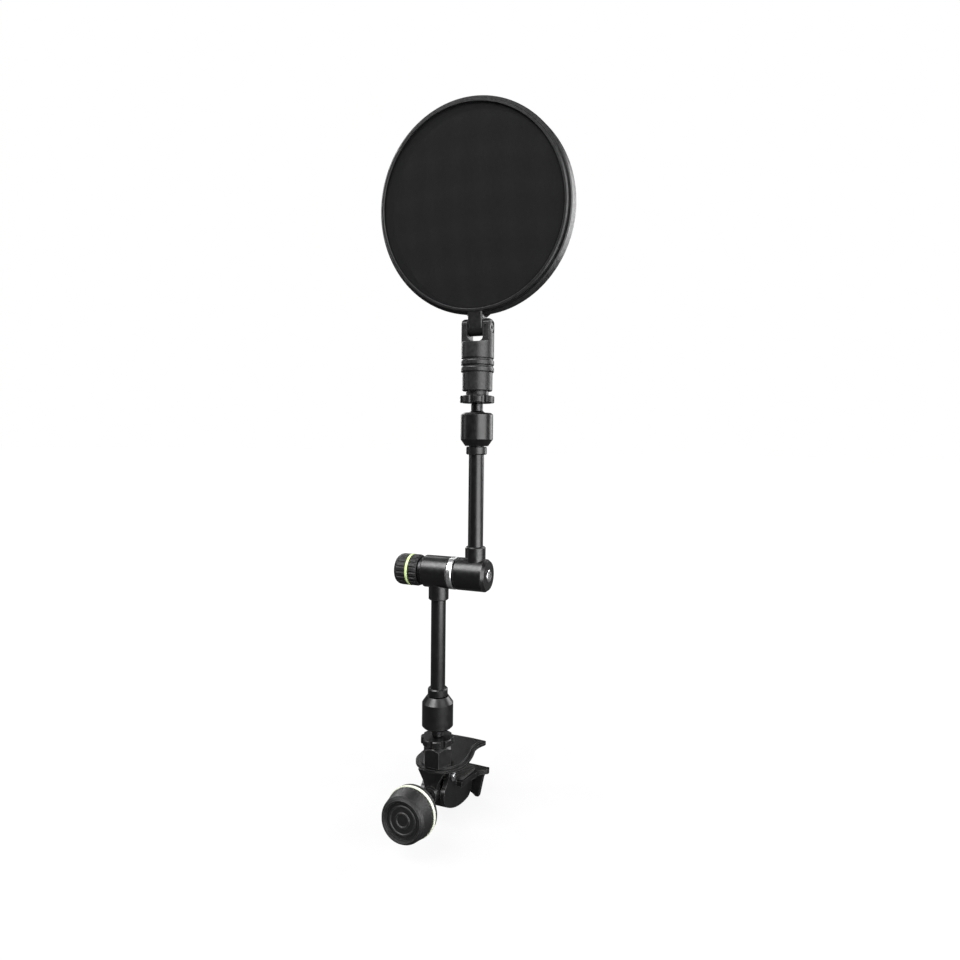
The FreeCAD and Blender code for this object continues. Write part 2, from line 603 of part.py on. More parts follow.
def clamp_body():
    """Upper jaw plate with a thin flange, the arm's boss, the pivot lug and the screw's neck."""
    flange = jaw_outline(PLATE_ROUND_Y, PLATE_ROUND_R, UPPER_NOSE_Y - 42, UPPER_NOSE_Y, UPPER_NOSE_HALF,
                         PLATE_BOTTOM, FLANGE_TOP - PLATE_BOTTOM)
    top_face = max(flange.Faces, key=lambda face: face.CenterOfMass.z)
    middle = Part.Face(top_face.makeOffset2D(-FLANGE_WIDTH).Wires[0])
    middle = moved(middle.extrude(Vector(0, 0, PLATE_TOP - FLANGE_TOP + 1)), 0, 0, -1)
    boss = hexagon(BOSS_FLATS, PLATE_TOP - 0.5, BOSS_TOP)
    cap = turned([(0, 0), (30, 0), (30, BOSS_SHOULDER - 6), (BOSS_FLATS / 2 + 1.2, BOSS_SHOULDER - 0.6),
                  (BOSS_FLATS / 2 - 1.6, BOSS_TOP), (0, BOSS_TOP)])
    boss = moved(boss.common(cap), 0, ARM_Y, 0)
    lug = box(-LUG_HALF, LUG_HALF, JAW_PIVOT_Y - LUG_R, JAW_PIVOT_Y + LUG_R, JAW_PIVOT_Z, PLATE_BOTTOM + 1)
    lug_end = Part.makeCylinder(LUG_R, 2 * LUG_HALF, Vector(-LUG_HALF, JAW_PIVOT_Y, JAW_PIVOT_Z),
                                Vector(1, 0, 0))
    rib = box(-1.5, 1.5, ARM_Y - 8.0, JAW_PIVOT_Y - 3.0, -2.5, PLATE_BOTTOM + 1)
    nut_block = on_screw(cylinder(BUSH_R + 1.9, BUSH_START, BUSH_END))
    body = fused([flange, middle, boss, lug, lug_end, clamp_neck(), rib, nut_block])
    stud_hole = cylinder(5.0, INSERT_FLOOR, BOSS_TOP + 1, 0, ARM_Y)
    pin_hole = Part.makeCylinder(PIN_R + TOUCH, 30, Vector(-15, JAW_PIVOT_Y, JAW_PIVOT_Z), Vector(1, 0, 0))
    bush_hole = on_screw(cylinder(BUSH_R, BUSH_START - 4, BUSH_END + 4))
    return body.cut(stud_hole).cut(pin_hole).cut(bush_hole)


def clamp_insert():
    """Threaded sleeve for the lower arm's stud."""
    sleeve = cylinder(5.0 - TOUCH, INSERT_FLOOR, BOSS_TOP, 0, ARM_Y)
    return sleeve.cut(cylinder(STUD_R + RUNNING, 0, BOSS_TOP + 1, 0, ARM_Y))


def jaw_pad(start, side):
    """Rubber pad with cross grooves in its gripping side (+1 up, -1 down), from y = start on."""
    block = box(-PAD_HALF_WIDTH, PAD_HALF_WIDTH, start, start + PAD_LENGTH, 0, PAD_THICK)
    corners = [edge for edge in block.Edges if abs(edge.CenterOfMass.z - PAD_THICK / 2) < 0.01]
    pad = block.makeFillet(3.0, corners)
    middle = start + PAD_LENGTH / 2
    grooves = []
    for i in range(-4, 4):
        y = middle + 3.4 * (i + 0.5)
        grooves.append(box(-30, 30, y - 0.5, y + 0.5, PAD_THICK - 0.8, PAD_THICK + 1))
    pad = pad.cut(Part.makeCompound(grooves))
    if side < 0:
        pad = turned_shape(pad, Vector(0, 1, 0), 180)
    return pad


def upper_jaw_pad():
    return moved(jaw_pad(-PAD_LENGTH / 2, -1), 0, 0, PAD_THICK)


def jaw_side():
    """Side outline of the lower jaw, seen along the pivot: (y, z) with the pivot at zero."""
    def point(y, z):
        return Vector(-CHEEK_HALF, y, z)

    front = JAW_NOSE - 1
    top = CHEEK_ROUND_R
    return Part.Wire([
        Part.Arc(point(-top, 0), point(0, top), point(top, 0)).toShape(),
        Part.makeLine(point(top, 0), point(10.0, JAW_TOP)),
        Part.makeLine(point(10.0, JAW_TOP), point(front, JAW_TOP)),
        Part.makeLine(point(front, JAW_TOP), point(front, -12.5)),
        Part.Arc(point(front, -12.5), point(47.0, -15.0), point(44.0, -21.0)).toShape(),
        Part.Arc(point(44.0, -21.0), point(42.2, -27.2), point(36.0, -30.6)).toShape(),
        Part.Arc(point(36.0, -30.6), point(18.0, -30.6), point(-5.9, -24.2)).toShape(),
        Part.Arc(point(-5.9, -24.2), point(-12.0, -20.2), point(-15.2, -13.6)).toShape(),
        Part.Arc(point(-15.2, -13.6), point(-15.0, -9.6), point(-12.4, -6.6)).toShape(),
        Part.makeLine(point(-12.4, -6.6), point(-top, 0))])


def clamp_jaw():
    """Swinging jaw: cheeks around the pivot, deep hollow belly, flat top and a T-shaped lip."""
    inside = CHEEK_INSIDE
    body = Part.Face(jaw_side()).extrude(Vector(2 * CHEEK_HALF, 0, 0))
    body = body.cut(box(-inside, inside, -40, 14.0, -1.5, 20))
    body = body.cut(box(-inside, inside, -40, -9.5, -60, 20))
    for start, end in ((10.5, 26.5), (29.5, 40.5)):
        pocket = box(-inside, inside, start, end, -60, JAW_TOP - 4.5)
        uprights = [edge for edge in pocket.Edges if abs(edge.BoundBox.ZLength) > 20]
        body = body.cut(pocket.makeFillet(2.0, uprights))
    top = jaw_outline(14.0, 16.5, JAW_NOSE - 34, JAW_NOSE, LOWER_NOSE_HALF, JAW_TOP - 4.0, 4.0)
    top = top.common(box(-60, 60, 9.0, 90, -60, 60))
    edge = LOWER_NOSE_HALF - 1.0
    lip_outline = smooth_outline([
        (-edge, -JAW_TOP), (edge, -JAW_TOP), ("arc", (21.6, 11.6), (19.3, 16.5)), (16.4, LIP_DROP),
        (13.6, LIP_DROP), ("arc", (0, LIP_DROP - 5.0), (-13.6, LIP_DROP)), (-16.4, LIP_DROP),
        (-19.3, 16.5), ("arc", (-21.6, 11.6), (-edge, -JAW_TOP))], 0, 5.0)
    lip = moved(turned_shape(lip_outline, Vector(1, 0, 0), -90), 0, JAW_NOSE - 6.0, 0)
    body = fused([body, top, lip])
    body = body.cut(Part.makeCylinder(PIN_R + RUNNING, 60, Vector(-30, 0, 0), Vector(1, 0, 0)))
    return on_jaw(body).cut(screw_pocket())


def screw_pocket():
    """Space in the belly for the end of the screw; its far wall is the face the cap pushes."""
    inside = CHEEK_INSIDE
    return on_screw(box(-inside, inside, -15.0, 6.4, 30.0, thrust_tip() + 0.3))


def thrust_tip():
    """Distance along the screw from the knob's face to the tip of the thrust cap."""
    tilt = math.radians(SCREW_TILT)
    along = (JAW_PIVOT_Y - KNOB_FACE_Y) * math.cos(tilt) - (JAW_PIVOT_Z - KNOB_FACE_Z) * math.sin(tilt)
    return along + THRUST_NOSE_R


def lower_jaw_pad():
    return on_jaw(moved(jaw_pad(13.0, 1), 0, 0, JAW_TOP))


def jaw_pivot_pin():
    pin = turned([(0, -13.0), (PIN_R - 0.3, -13.0), (PIN_R, -12.7), (PIN_R, 12.7), (PIN_R - 0.3, 13.0),
                  (0, 13.0)])
    for z in (-12.3, 11.5):
        pin = pin.cut(cylinder(PIN_R + 1, z, z + 0.8).cut(cylinder(PIN_R - 0.5, z, z + 0.8)))
    return moved(along_x(pin), 0, JAW_PIVOT_Y, JAW_PIVOT_Z)


def pin_clips():
    """Open retaining clips in the two grooves of the pin."""
    clips = []
    for z in (-12.2, 11.6):
        clip = cylinder(4.4, z, z + 0.6).cut(cylinder(PIN_R - 0.48, z, z + 0.6))
        clip = clip.cut(box(-1.5, 1.5, 0, 10, z - 1, z + 2))
        clips.append(moved(along_x(clip), 0, JAW_PIVOT_Y, JAW_PIVOT_Z))
    return Part.makeCompound(clips)


def jaw_spring():
    """Close-wound opening spring around the pin beside the lug."""
    wire_r = 0.4
    coil_r = 3.5
    turns = [Part.makeTorus(coil_r, wire_r, Vector(0, 0, LUG_HALF + 1.0 + 0.7 * i)) for i in range(3)]
    coil = fused(turns)
    return moved(along_x(coil), 0, JAW_PIVOT_Y, JAW_PIVOT_Z)


def screw_bush():
    """Threaded bush pressed into the clamp body."""
    sleeve = cylinder(BUSH_R - TOUCH, BUSH_START + 0.2, BUSH_END - 0.2)
    return on_screw(sleeve.cut(cylinder(SCREW_R + RUNNING, BUSH_START, BUSH_END)))


def clamp_screw():
    end = thrust_tip() - 5.4
    return on_screw(turned([(0, 8.0), (SCREW_R - 0.6, 8.0), (SCREW_R, 8.6), (SCREW_R, end - 3.4),
                            (2.2, end - 3.4), (2.2, end), (0, end)]))


def thrust_cap():
    """Round-nosed cap that stays still while the screw turns in it."""
    tip = thrust_tip()
    end = tip - 5.4
    nose = Part.makeSphere(THRUST_NOSE_R, Vector(0, 0, tip - THRUST_NOSE_R))
    nose = nose.common(cylinder(THRUST_NOSE_R, tip - THRUST_NOSE_R, tip + 1))
    skirt = cylinder(THRUST_NOSE_R, end - 3.0, tip - THRUST_NOSE_R)
    return on_screw(fused([nose, skirt]).cut(cylinder(2.25, end - 4, end + 0.3)))


def clamp_knob_front():
    """Tapered knob half with a dished face and shallow finger grooves."""
    edge_r = CLAMP_KNOB_R - 0.5
    back = CLAMP_RING_START
    shell = turned([(0, 3.6), (13.1, 3.6), (13.1, 2.2), (13.9, 2.2), (14.4, 0.5), (15.4, 0), (16.8, 0.9),
                    (17.9, 2.8), (edge_r, back - 0.8), (edge_r - 0.4, back), (0, back)])
    shell = grooved(shell, edge_r, 0.5, 36, 0.85, 3.6, back - 1.0)
    spigot = cylinder(15.0, back, CLAMP_RING_END)
    hub_seat = hexagon(13.1, 9.0, 30)
    screw_seat = cylinder(SCREW_R + TOUCH, 7.5, 20)
    return on_screw(fused([shell, spigot]).cut(hub_seat).cut(screw_seat))


def clamp_knob_cap():
    """Plain inset disc with raised rings that closes the knob's face."""
    return on_screw(turned([(0, 3.55), (0, 2.4), (4.2, 2.4), (4.8, 1.8), (5.6, 1.8), (6.2, 2.4), (9.6, 2.4),
                            (10.1, 1.9), (10.7, 1.9), (11.2, 2.4), (12.7, 2.4), (13.0, 2.7), (13.0, 3.55)]))


def clamp_knob_ring():
    start = CLAMP_RING_START + 0.05
    end = CLAMP_RING_END - 0.05
    outer = CLAMP_KNOB_R + 0.2
    return on_screw(turned([(15.05, start), (outer - 0.4, start), (outer, start + 0.4), (outer, end - 0.4),
                            (outer - 0.4, end), (15.05, end)]))


def clamp_knob_rear():
    start = CLAMP_RING_END + TOUCH
    back = CLAMP_KNOB_BACK
    skirt = turned([(0, start), (CLAMP_KNOB_R - 0.5, start), (CLAMP_KNOB_R - 0.1, start + 0.5),
                    (CLAMP_KNOB_R - 0.4, back - 2.2), (CLAMP_KNOB_R - 2.0, back), (0, back)])
    skirt = grooved(skirt, CLAMP_KNOB_R - 0.2, 0.5, 36, 0.85, start + 0.9, back - 2.4)
    hollow = turned([(11.0, back - 3.0), (17.0, back - 3.0), (17.0, back + 1), (11.0, back + 1)])
    return on_screw(skirt.cut(hexagon(13.1, 10, 30)).cut(hollow))


def clamp_knob_hub():
    """Hexagonal metal hub that ties the screw to the knob, with a round shoulder behind it."""
    back = CLAMP_KNOB_BACK
    shoulder = turned([(0, back), (8.0, back), (8.0, back + 3.4), (6.4, back + 5.6), (0, back + 5.6)])
    hub = fused([hexagon(13.0, 9.1, back), shoulder])
    return on_screw(hub.cut(cylinder(SCREW_R + TOUCH, 0, 40)))


# ---------------------------------------------------------------- write every piece
def pieces():
    arms = {"upper": on_upper_arm, "lower": on_lower_arm}
    builders = {"tube": arm_tube, "ferrule": arm_ferrule, "tube_collar": tube_collar,
                "ball_housing": ball_housing, "ball_pad": ball_pad, "ball_stud": ball_stud,
                "lock_wheel": lock_wheel, "push_rod": push_rod, "rod_guides": rod_guides}
    for side, place in arms.items():
        for name, builder in builders.items():
            yield side + "_" + name, place(builder())
    yield "lower_barrel", lower_barrel()
    yield "upper_barrel", upper_barrel()
    yield "lower_wedge", wedge(0.0, 1)
    yield "upper_wedge", wedge(ARM_SPACING, -1)
    single = [friction_ring, end_cap, centre_bolt, thrust_washer, centre_knob_nut, centre_knob_front,
              centre_knob_ring, centre_knob_rear, yoke_body, yoke_insert, yoke_pivot_screw,
              yoke_pivot_nut, front_hoop, rear_hoop, spacer_ring, front_screen, rear_screen,
              clamp_body, clamp_insert, upper_jaw_pad, clamp_jaw, lower_jaw_pad, jaw_pivot_pin,
              pin_clips, jaw_spring, screw_bush, clamp_screw, thrust_cap, clamp_knob_front,
              clamp_knob_ring, clamp_knob_rear, clamp_knob_hub, clamp_knob_cap]
    for builder in single:
        yield builder.__name__, builder()


os.makedirs("parts", exist_ok=True)
for node, shape in pieces():
    shape.exportStep("parts/" + node + ".step")
    print(node, len(shape.Solids), round(shape.Volume, 1), shape.isValid())
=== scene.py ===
"""Pop filter on a jointed locking arm: materials, fabric screens, floor, lights and camera."""

import json
import math

import bpy
from mathutils import Matrix, Vector


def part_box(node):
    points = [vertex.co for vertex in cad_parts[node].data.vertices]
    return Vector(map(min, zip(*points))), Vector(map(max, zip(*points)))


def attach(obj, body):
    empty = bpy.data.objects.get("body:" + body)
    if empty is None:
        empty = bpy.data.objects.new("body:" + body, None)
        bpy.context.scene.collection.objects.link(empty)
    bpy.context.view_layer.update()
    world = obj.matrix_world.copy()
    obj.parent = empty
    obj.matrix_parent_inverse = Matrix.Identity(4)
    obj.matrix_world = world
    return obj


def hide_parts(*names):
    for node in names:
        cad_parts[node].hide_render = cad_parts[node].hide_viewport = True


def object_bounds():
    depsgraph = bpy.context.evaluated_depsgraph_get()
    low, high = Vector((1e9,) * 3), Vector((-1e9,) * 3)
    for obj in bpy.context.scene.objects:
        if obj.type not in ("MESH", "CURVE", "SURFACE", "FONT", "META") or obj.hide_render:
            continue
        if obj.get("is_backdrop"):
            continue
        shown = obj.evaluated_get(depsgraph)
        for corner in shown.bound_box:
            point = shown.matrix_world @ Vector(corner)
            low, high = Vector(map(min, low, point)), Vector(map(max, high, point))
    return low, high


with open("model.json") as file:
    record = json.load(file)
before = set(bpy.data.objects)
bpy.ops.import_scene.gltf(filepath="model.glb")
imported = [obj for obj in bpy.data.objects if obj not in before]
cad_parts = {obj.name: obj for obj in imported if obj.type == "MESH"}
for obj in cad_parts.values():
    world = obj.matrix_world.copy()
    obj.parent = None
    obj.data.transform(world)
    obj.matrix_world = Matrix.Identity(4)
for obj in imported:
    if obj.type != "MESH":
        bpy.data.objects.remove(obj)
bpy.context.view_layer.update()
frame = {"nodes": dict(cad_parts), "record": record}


MM = 0.001
# At rest the top of the head leans forward by this angle, as the CAD's hoops do.
HEAD_LEAN = math.radians(8.2)

# Node constants shared by all the materials.
NOISE_ROUGHNESS = 0.55
WAVE_PITCH_AT_SCALE_1 = 0.314  # metres from one line to the next
BEVEL_SAMPLES = 4
UNWORN_COSINE = 0.995  # bevelled against true normal: above this an edge keeps its coat
WORN_COSINE = 0.90     # and below this it is rubbed right through


# ------------------------------------------------------------------ node material helpers
class Shader:
    """A small builder for one procedural material around a Principled BSDF."""

    def __init__(self, name, rough, metallic=0.0, specular=0.5, coat=0.0, coat_rough=0.1):
        self.material = bpy.data.materials.new(name)
        self.material.use_nodes = True
        self.tree = self.material.node_tree
        self.bsdf = self.tree.nodes["Principled BSDF"]
        self.bsdf.inputs["Roughness"].default_value = rough
        self.bsdf.inputs["Metallic"].default_value = metallic
        self.bsdf.inputs["Specular IOR Level"].default_value = specular
        self.bsdf.inputs["Coat Weight"].default_value = coat
        self.bsdf.inputs["Coat Roughness"].default_value = coat_rough
        self.place = self.node("ShaderNodeTexCoord").outputs["Object"]

    def node(self, kind, **settings):
        made = self.tree.nodes.new(kind)
        for key, value in settings.items():
            setattr(made, key, value)
        return made

    def link(self, source, target):
        self.tree.links.new(source, target)

    def noise(self, size_mm, detail):
        """Noise whose blotches are about size_mm across."""
        made = self.node("ShaderNodeTexNoise")
        made.inputs["Scale"].default_value = 1.0 / (size_mm * MM)
        made.inputs["Detail"].default_value = detail
        made.inputs["Roughness"].default_value = NOISE_ROUGHNESS
        self.link(self.place, made.inputs["Vector"])
        return made.outputs["Fac"]

    def cells(self, size_mm):
        """Rounded pits about size_mm apart, as a spark-eroded mould leaves them."""
        made = self.node("ShaderNodeTexVoronoi", feature="F1")
        made.inputs["Scale"].default_value = 1.0 / (size_mm * MM)
        self.link(self.place, made.inputs["Vector"])
        return made.outputs["Distance"]

    def rings(self, axis, pitch_mm, distortion):
        """Fine parallel lines across one axis: lathe marks or rows of knitting."""
        made = self.node("ShaderNodeTexWave", wave_type="BANDS", bands_direction=axis)
        made.inputs["Scale"].default_value = WAVE_PITCH_AT_SCALE_1 / (pitch_mm * MM)
        made.inputs["Distortion"].default_value = distortion
        self.link(self.place, made.inputs["Vector"])
        return made.outputs["Fac"]

    def ramp(self, source, low, high, start=0.3, end=0.7):
        """Map a 0-1 value onto two colours or two grey levels."""
        made = self.node("ShaderNodeValToRGB")
        made.color_ramp.elements[0].position = start
        made.color_ramp.elements[1].position = end
        for element, value in zip(made.color_ramp.elements, (low, high)):
            levels = value if hasattr(value, "__len__") else (value, value, value)
            element.color = (*levels, 1)
        self.link(source, made.inputs["Fac"])
        return made.outputs["Color"]

    def edge_wear(self, radius_mm):
        """About 0 on flats and 1 on sharp edges, from the bevelled normal."""
        bevel = self.node("ShaderNodeBevel", samples=BEVEL_SAMPLES)
        bevel.inputs["Radius"].default_value = radius_mm * MM
        geometry = self.node("ShaderNodeNewGeometry")
        dot = self.node("ShaderNodeVectorMath", operation="DOT_PRODUCT")
        self.link(bevel.outputs["Normal"], dot.inputs[0])
        self.link(geometry.outputs["Normal"], dot.inputs[1])
        wear = self.node("ShaderNodeMapRange")
        wear.inputs["From Min"].default_value = UNWORN_COSINE
        wear.inputs["From Max"].default_value = WORN_COSINE
        self.link(dot.outputs["Value"], wear.inputs["Value"])
        return wear.outputs["Result"]

    def mix(self, factor, low, high):
        """Blend two colours by a number or a socket; each colour is a tuple or a socket."""
        made = self.node("ShaderNodeMix", data_type="RGBA")
        if isinstance(factor, float):
            made.inputs["Factor"].default_value = factor
        else:
            self.link(factor, made.inputs["Factor"])
        targets = [socket for socket in made.inputs if socket.type == "RGBA"]
        for target, value in zip(targets, (low, high)):
            if hasattr(value, "__len__"):
                target.default_value = (*value, 1)
            else:
                self.link(value, target)
        return [socket for socket in made.outputs if socket.type == "RGBA"][0]

    def colour(self, source):
        self.link(source, self.bsdf.inputs["Base Color"])

    def roughness(self, source):
        self.link(source, self.bsdf.inputs["Roughness"])

    def bump(self, *layers):
        """Stack (height, strength, depth in mm) layers into the normal."""
        normal = None
        for source, strength, depth_mm in layers:
            made = self.node("ShaderNodeBump")
            made.inputs["Strength"].default_value = strength
            made.inputs["Distance"].default_value = depth_mm * MM
            self.link(source, made.inputs["Height"])
            if normal is not None:
                self.link(normal, made.inputs["Normal"])
            normal = made.outputs["Normal"]
        self.link(normal, self.bsdf.inputs["Normal"])


def satin_black():
    """Black anodised tube and turned barrels: soft satin with worn edges."""
    shader = Shader("satin_black", 0.34, specular=0.55)
    blotch = shader.noise(9.0, 4.0)
    base = shader.ramp(blotch, (0.0018, 0.0018, 0.0019), (0.0038, 0.0038, 0.0040))
    shader.colour(shader.mix(shader.edge_wear(0.4), base, (0.05, 0.049, 0.048)))
    shader.roughness(shader.ramp(shader.noise(3.2, 5.0), 0.28, 0.40))
    shader.bump((shader.noise(0.35, 2.0), 0.10, 0.04))
    return shader.material


def moulded_black():
    """Fine-grained black plastic of the hoops and the yoke."""
    shader = Shader("moulded_black", 0.42, specular=0.5)
    blotch = shader.noise(6.0, 4.0)
    base = shader.ramp(blotch, (0.0040, 0.0040, 0.0042), (0.0085, 0.0085, 0.0088))
    shader.colour(shader.mix(shader.edge_wear(0.35), base, (0.045, 0.045, 0.045)))
    shader.roughness(shader.ramp(shader.noise(2.2, 4.0), 0.34, 0.50))
    shader.bump((shader.cells(0.5), 0.22, 0.07), (shader.noise(0.2, 2.0), 0.12, 0.03))
    return shader.material


def knob_black():
    """Stippled, slightly rubbery black plastic of the knobs."""
    shader = Shader("knob_black", 0.5, specular=0.45)
    blotch = shader.noise(4.0, 4.0)
    base = shader.ramp(blotch, (0.0020, 0.0020, 0.0021), (0.0050, 0.0050, 0.0052))
    shader.colour(shader.mix(shader.edge_wear(0.35), base, (0.06, 0.06, 0.06)))
    shader.roughness(shader.ramp(shader.noise(1.2, 4.0), 0.44, 0.62))
    shader.bump((shader.cells(0.8), 0.5, 0.16), (shader.noise(0.3, 2.0), 0.2, 0.05))
    return shader.material


def cast_black():
    """Powder coat over a casting: orange-peel skin and rubbed edges."""
    shader = Shader("cast_black", 0.38, specular=0.5)
    blotch = shader.noise(7.0, 4.0)
    base = shader.ramp(blotch, (0.0020, 0.0020, 0.0021), (0.0050, 0.0050, 0.0052))
    shader.colour(shader.mix(shader.edge_wear(0.5), base, (0.07, 0.069, 0.067)))
    shader.roughness(shader.ramp(shader.noise(2.6, 4.0), 0.3, 0.46))
    shader.bump((shader.noise(1.5, 2.0), 0.3, 0.12), (shader.noise(0.3, 2.0), 0.12, 0.04))
    return shader.material


def tinted(name, low, high, rough):
    """Semi-gloss coloured plastic trim."""
    shader = Shader(name, rough, specular=0.5, coat=0.15, coat_rough=0.2)
    shader.colour(shader.ramp(shader.noise(3.0, 4.0), low, high))
    shader.roughness(shader.ramp(shader.noise(1.5, 3.0), rough - 0.05, rough + 0.08))
    shader.bump((shader.noise(0.4, 2.0), 0.08, 0.03))
    return shader.material


def bright_metal(name, colour_low, colour_high, rough, axis=None):
    """Bare metal, with turned lines across an axis where the piece is lathe work."""
    shader = Shader(name, rough, metallic=1.0)
    shader.colour(shader.ramp(shader.noise(2.0, 4.0), colour_low, colour_high))
    shader.roughness(shader.ramp(shader.noise(1.0, 4.0), rough - 0.06, rough + 0.1))
    layers = [(shader.noise(0.25, 2.0), 0.08, 0.02)]
    if axis:
        layers.append((shader.rings(axis, 0.22, 0.6), 0.25, 0.02))
    shader.bump(*layers)
    return shader.material


def rubber():
    """Matt rubber of the jaw pads."""
    shader = Shader("rubber", 0.8, specular=0.3)
    shader.colour(shader.ramp(shader.noise(3.0, 5.0), (0.012, 0.012, 0.012), (0.03, 0.029, 0.028)))
    shader.roughness(shader.ramp(shader.noise(1.0, 3.0), 0.72, 0.9))
    shader.bump((shader.noise(0.5, 3.0), 0.3, 0.08))
    return shader.material


def slip_plastic():
    """Pale low-friction plastic of the pressure cups and rod guides inside."""
    shader = Shader("slip_plastic", 0.45)
    shader.colour(shader.ramp(shader.noise(3.0, 4.0), (0.55, 0.54, 0.50), (0.68, 0.66, 0.61)))
    shader.bump((shader.noise(0.4, 2.0), 0.1, 0.03))
    return shader.material


def knit():
    """Tight black nylon knit: fine loops with small part-clear gaps between the threads."""
    shader = Shader("knit", 0.85, specular=0.12)
    across = shader.rings("X", 0.55, 0.4)
    along = shader.rings("Z", 0.7, 0.4)
    loops = shader.node("ShaderNodeMath", operation="MULTIPLY")
    shader.link(across, loops.inputs[0])
    shader.link(along, loops.inputs[1])
    threads = loops.outputs["Value"]
    tone = shader.ramp(threads, (0.0044, 0.0044, 0.0047), (0.0094, 0.0094, 0.0098), 0.05, 0.6)
    blotch = shader.noise(1.4, 3.0)
    patch = shader.ramp(blotch, (0.0058, 0.0058, 0.0061), (0.0096, 0.0096, 0.0099))
    shader.colour(shader.mix(0.5, tone, patch))
    openness = shader.node("ShaderNodeMapRange")
    openness.inputs["From Min"].default_value = 0.02
    openness.inputs["From Max"].default_value = 0.25
    openness.inputs["To Min"].default_value = 0.90
    openness.inputs["To Max"].default_value = 1.0
    shader.link(threads, openness.inputs["Value"])
    shader.link(openness.outputs["Result"], shader.bsdf.inputs["Alpha"])
    shader.bump((threads, 0.35, 0.12))
    return shader.material


materials = {
    "satin_black": satin_black(),
    "moulded_black": moulded_black(),
    "knob_black": knob_black(),
    "cast_black": cast_black(),
    "lime": tinted("lime", (0.50, 0.66, 0.26), (0.60, 0.76, 0.34), 0.35),
    "pale_ring": tinted("pale_ring", (0.62, 0.66, 0.52), (0.72, 0.75, 0.62), 0.4),
    "steel": bright_metal("steel", (0.50, 0.50, 0.51), (0.66, 0.66, 0.67), 0.30),
    "dark_steel": bright_metal("dark_steel", (0.035, 0.035, 0.037), (0.07, 0.07, 0.072), 0.36),
    "bright_ring": bright_metal("bright_ring", (0.78, 0.78, 0.79), (0.9, 0.9, 0.91), 0.3, "X"),
    "brass": bright_metal("brass", (0.58, 0.40, 0.16), (0.72, 0.52, 0.24), 0.32),
    "rubber": rubber(),
    "mesh": knit(),
    "slip_plastic": slip_plastic(),
}

slot_of = {part["node"]: part["material_slot"] for part in frame["record"]["subparts"]}
for name, node in frame["nodes"].items():
    for slot in node.material_slots:
        slot.material = materials[slot_of[name]]


# ------------------------------------------------------------------ fabric screens
RING_COUNT = 40
SPOKE_COUNT = 180
BELLY = 0.25 * MM          # how far the middle sinks towards the other screen
RIPPLE = 0.05 * MM         # height of the tension ripples at the rim
RIPPLE_START = 0.72        # share of the radius where they begin
RIPPLE_WAVES = 24          # ripples round the rim
RIPPLE_DRIFT_WAVES = 5     # slow change in their spacing
RIPPLE_DRIFT = 1.3


def screen(name, node, front_sign):
    """Stretched knit: a finely divided disc with faint tension ripples at its rim."""
    low, high = (Vector(corner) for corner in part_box(node))
    centre = (low + high) / 2
    radius = (high.x - low.x) / 2
    up = Vector((0, -math.sin(HEAD_LEAN), math.cos(HEAD_LEAN)))
    out = Vector((0, -math.cos(HEAD_LEAN), -math.sin(HEAD_LEAN))) * front_sign
    side = Vector((1, 0, 0))
    vertices = [centre.copy()]
    for ring in range(1, RING_COUNT + 1):
        share = ring / RING_COUNT
        rim = max(0.0, share - RIPPLE_START) / (1 - RIPPLE_START)
        belly = BELLY * (1 - share * share)
        for spoke in range(SPOKE_COUNT):
            angle = 2 * math.pi * spoke / SPOKE_COUNT
            drift = RIPPLE_DRIFT * math.sin(RIPPLE_DRIFT_WAVES * angle)
            ripple = RIPPLE * rim * rim * math.sin(RIPPLE_WAVES * angle + drift)
            flat = side * math.cos(angle) + up * math.sin(angle)
            vertices.append(centre + flat * radius * share + out * (ripple - belly))
    faces = []
    for spoke in range(SPOKE_COUNT):
        faces.append((0, 1 + spoke, 1 + (spoke + 1) % SPOKE_COUNT))
    for ring in range(RING_COUNT - 1):
        inner = 1 + ring * SPOKE_COUNT
        outer = inner + SPOKE_COUNT
        for spoke in range(SPOKE_COUNT):
            following = (spoke + 1) % SPOKE_COUNT
            faces.append((inner + spoke, outer + spoke, outer + following, inner + following))
    mesh = bpy.data.meshes.new(name)
    mesh.from_pydata([tuple(v) for v in vertices], [], faces)
    mesh.update()
    for polygon in mesh.polygons:
        polygon.use_smooth = True
    piece = bpy.data.objects.new(name, mesh)
    bpy.context.scene.collection.objects.link(piece)
    mesh.materials.append(materials["mesh"])
    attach(piece, "head")
    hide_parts(node)


screen("front_knit", "front_screen", 1)
screen("rear_knit", "rear_screen", -1)


# ------------------------------------------------------------------ floor
FLOOR_HALF = 30.0
FLOOR_GAP = 0.2 * MM
FLOOR_GLOW_FAR = 1.0    # pure white from about a metre out
FLOOR_GLOW_NEAR_PAINTED_SHADE = 0.88  # painted shade: the floor glows a little less under the object, so that its shadow shows

low, high = (Vector(corner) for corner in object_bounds())


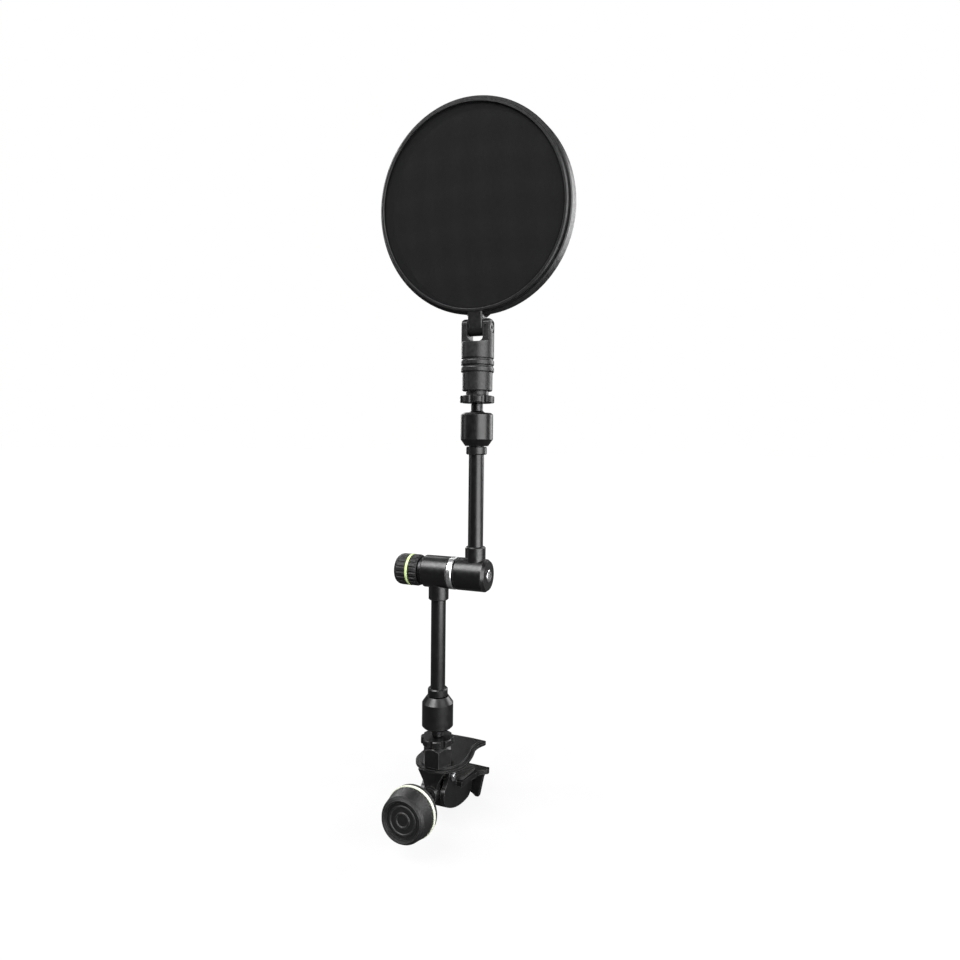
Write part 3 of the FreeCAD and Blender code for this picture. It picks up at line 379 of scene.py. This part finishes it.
def floor():
    """White floor, bright to the camera and dim as a reflection in the black finishes."""
    shader = Shader("pale_floor", 0.9, specular=0.05)
    blotch = shader.noise(40.0, 3.0)
    shader.colour(shader.ramp(blotch, (0.055, 0.055, 0.055), (0.065, 0.065, 0.065)))
    seen = shader.node("ShaderNodeLightPath").outputs["Is Camera Ray"]
    # Painted shade: the glow dips towards the object's middle, so the floor is darker under and
    # round the object.
    painted_shade_falloff = shader.node("ShaderNodeTexGradient", gradient_type="SPHERICAL")
    shader.link(shader.place, painted_shade_falloff.inputs["Vector"])
    level = shader.node("ShaderNodeMapRange")
    level.inputs["To Min"].default_value = FLOOR_GLOW_FAR
    level.inputs["To Max"].default_value = FLOOR_GLOW_NEAR_PAINTED_SHADE
    shader.link(painted_shade_falloff.outputs["Fac"], level.inputs["Value"])
    glow = shader.node("ShaderNodeMath", operation="MULTIPLY")
    shader.link(seen, glow.inputs[0])
    shader.link(level.outputs["Result"], glow.inputs[1])
    shader.bsdf.inputs["Emission Color"].default_value = (1, 1, 1, 1)
    shader.link(glow.outputs["Value"], shader.bsdf.inputs["Emission Strength"])
    height = low.z - FLOOR_GAP
    square = ((-1, -1), (1, -1), (1, 1), (-1, 1))
    corners = [(FLOOR_HALF * x, FLOOR_HALF * y, height) for x, y in square]
    mesh = bpy.data.meshes.new("floor")
    mesh.from_pydata(corners, [], [(0, 1, 2, 3)])
    mesh.materials.append(shader.material)
    piece = bpy.data.objects.new("floor", mesh)
    bpy.context.scene.collection.objects.link(piece)
    piece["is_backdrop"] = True


floor()


# ------------------------------------------------------------------ light
WORLD_DIM = 0.035  # what the object sees of the white surroundings


def softbox(name, position, target, width, height, power):
    """Rectangular lamp in metres and watts, turned to its target and unseen by the camera."""
    data = bpy.data.lights.new(name, "AREA")
    data.shape = "RECTANGLE"
    data.size = width
    data.size_y = height
    data.energy = power
    lamp = bpy.data.objects.new(name, data)
    lamp.location = position
    lamp.visible_camera = False
    lamp.rotation_euler = (Vector(target) - Vector(position)).to_track_quat("-Z", "Y").to_euler()
    bpy.context.scene.collection.objects.link(lamp)


middle = (low + high) / 2
softbox("right_box", (1.45, -0.85, 0.6), middle, 1.9, 1.5, 49)
softbox("front_top_box", (-0.55, -1.1, 1.75), middle, 1.4, 1.1, 56)
softbox("back_right_box", (1.0, 1.4, 0.8), middle, 1.0, 1.3, 22)
softbox("back_left_box", (-1.2, 1.1, 0.9), middle, 0.7, 1.3, 14)
softbox("left_box", (-1.5, -0.5, 0.6), middle, 0.25, 1.5, 3)
softbox("low_right_box", (0.56, -0.2, 0.065), (0, 0, 0.065), 0.6, 0.13, 1.9)


def studio_world():
    """White to the camera and dim to everything else, so the black finishes stay black."""
    world = bpy.data.worlds.new("studio")
    world.use_nodes = True
    tree = world.node_tree
    background = tree.nodes["Background"]
    background.inputs["Color"].default_value = (1, 1, 1, 1)
    path = tree.nodes.new("ShaderNodeLightPath")
    level = tree.nodes.new("ShaderNodeMapRange")
    level.inputs["To Min"].default_value = WORLD_DIM
    level.inputs["To Max"].default_value = 1.0
    tree.links.new(path.outputs["Is Camera Ray"], level.inputs["Value"])
    tree.links.new(level.outputs["Result"], background.inputs["Strength"])
    bpy.context.scene.world = world
    bpy.context.scene.view_settings.view_transform = "Standard"


studio_world()


# ------------------------------------------------------------------ camera
CAMERA_PLACE = (0.23384, -0.52802, 0.26611)
CAMERA_AZIMUTH = math.radians(21.88)
CAMERA_PITCH = math.radians(2.864)
CAMERA_ROLL = math.radians(0.668)
LENS_MM = 25.48
SENSOR_MM = 36.0


def camera():
    """View from the front right at about mid height, looking back, left and slightly down."""
    azimuth, pitch, roll = CAMERA_AZIMUTH, CAMERA_PITCH, CAMERA_ROLL
    forward = Vector((-math.sin(azimuth) * math.cos(pitch), math.cos(azimuth) * math.cos(pitch),
                      -math.sin(pitch)))
    level_right = forward.cross(Vector((0, 0, 1))).normalized()
    level_up = level_right.cross(forward)
    right = level_right * math.cos(roll) + level_up * math.sin(roll)
    up = level_up * math.cos(roll) - level_right * math.sin(roll)
    data = bpy.data.cameras.new("camera")
    data.lens = LENS_MM
    data.sensor_width = SENSOR_MM
    data.clip_start = 0.01
    data.clip_end = 100.0
    eye = bpy.data.objects.new("camera", data)
    turn = Matrix((right, up, -forward)).transposed().to_4x4()
    eye.matrix_world = Matrix.Translation(Vector(CAMERA_PLACE)) @ turn
    bpy.context.scene.collection.objects.link(eye)
    bpy.context.scene.camera = eye


camera()
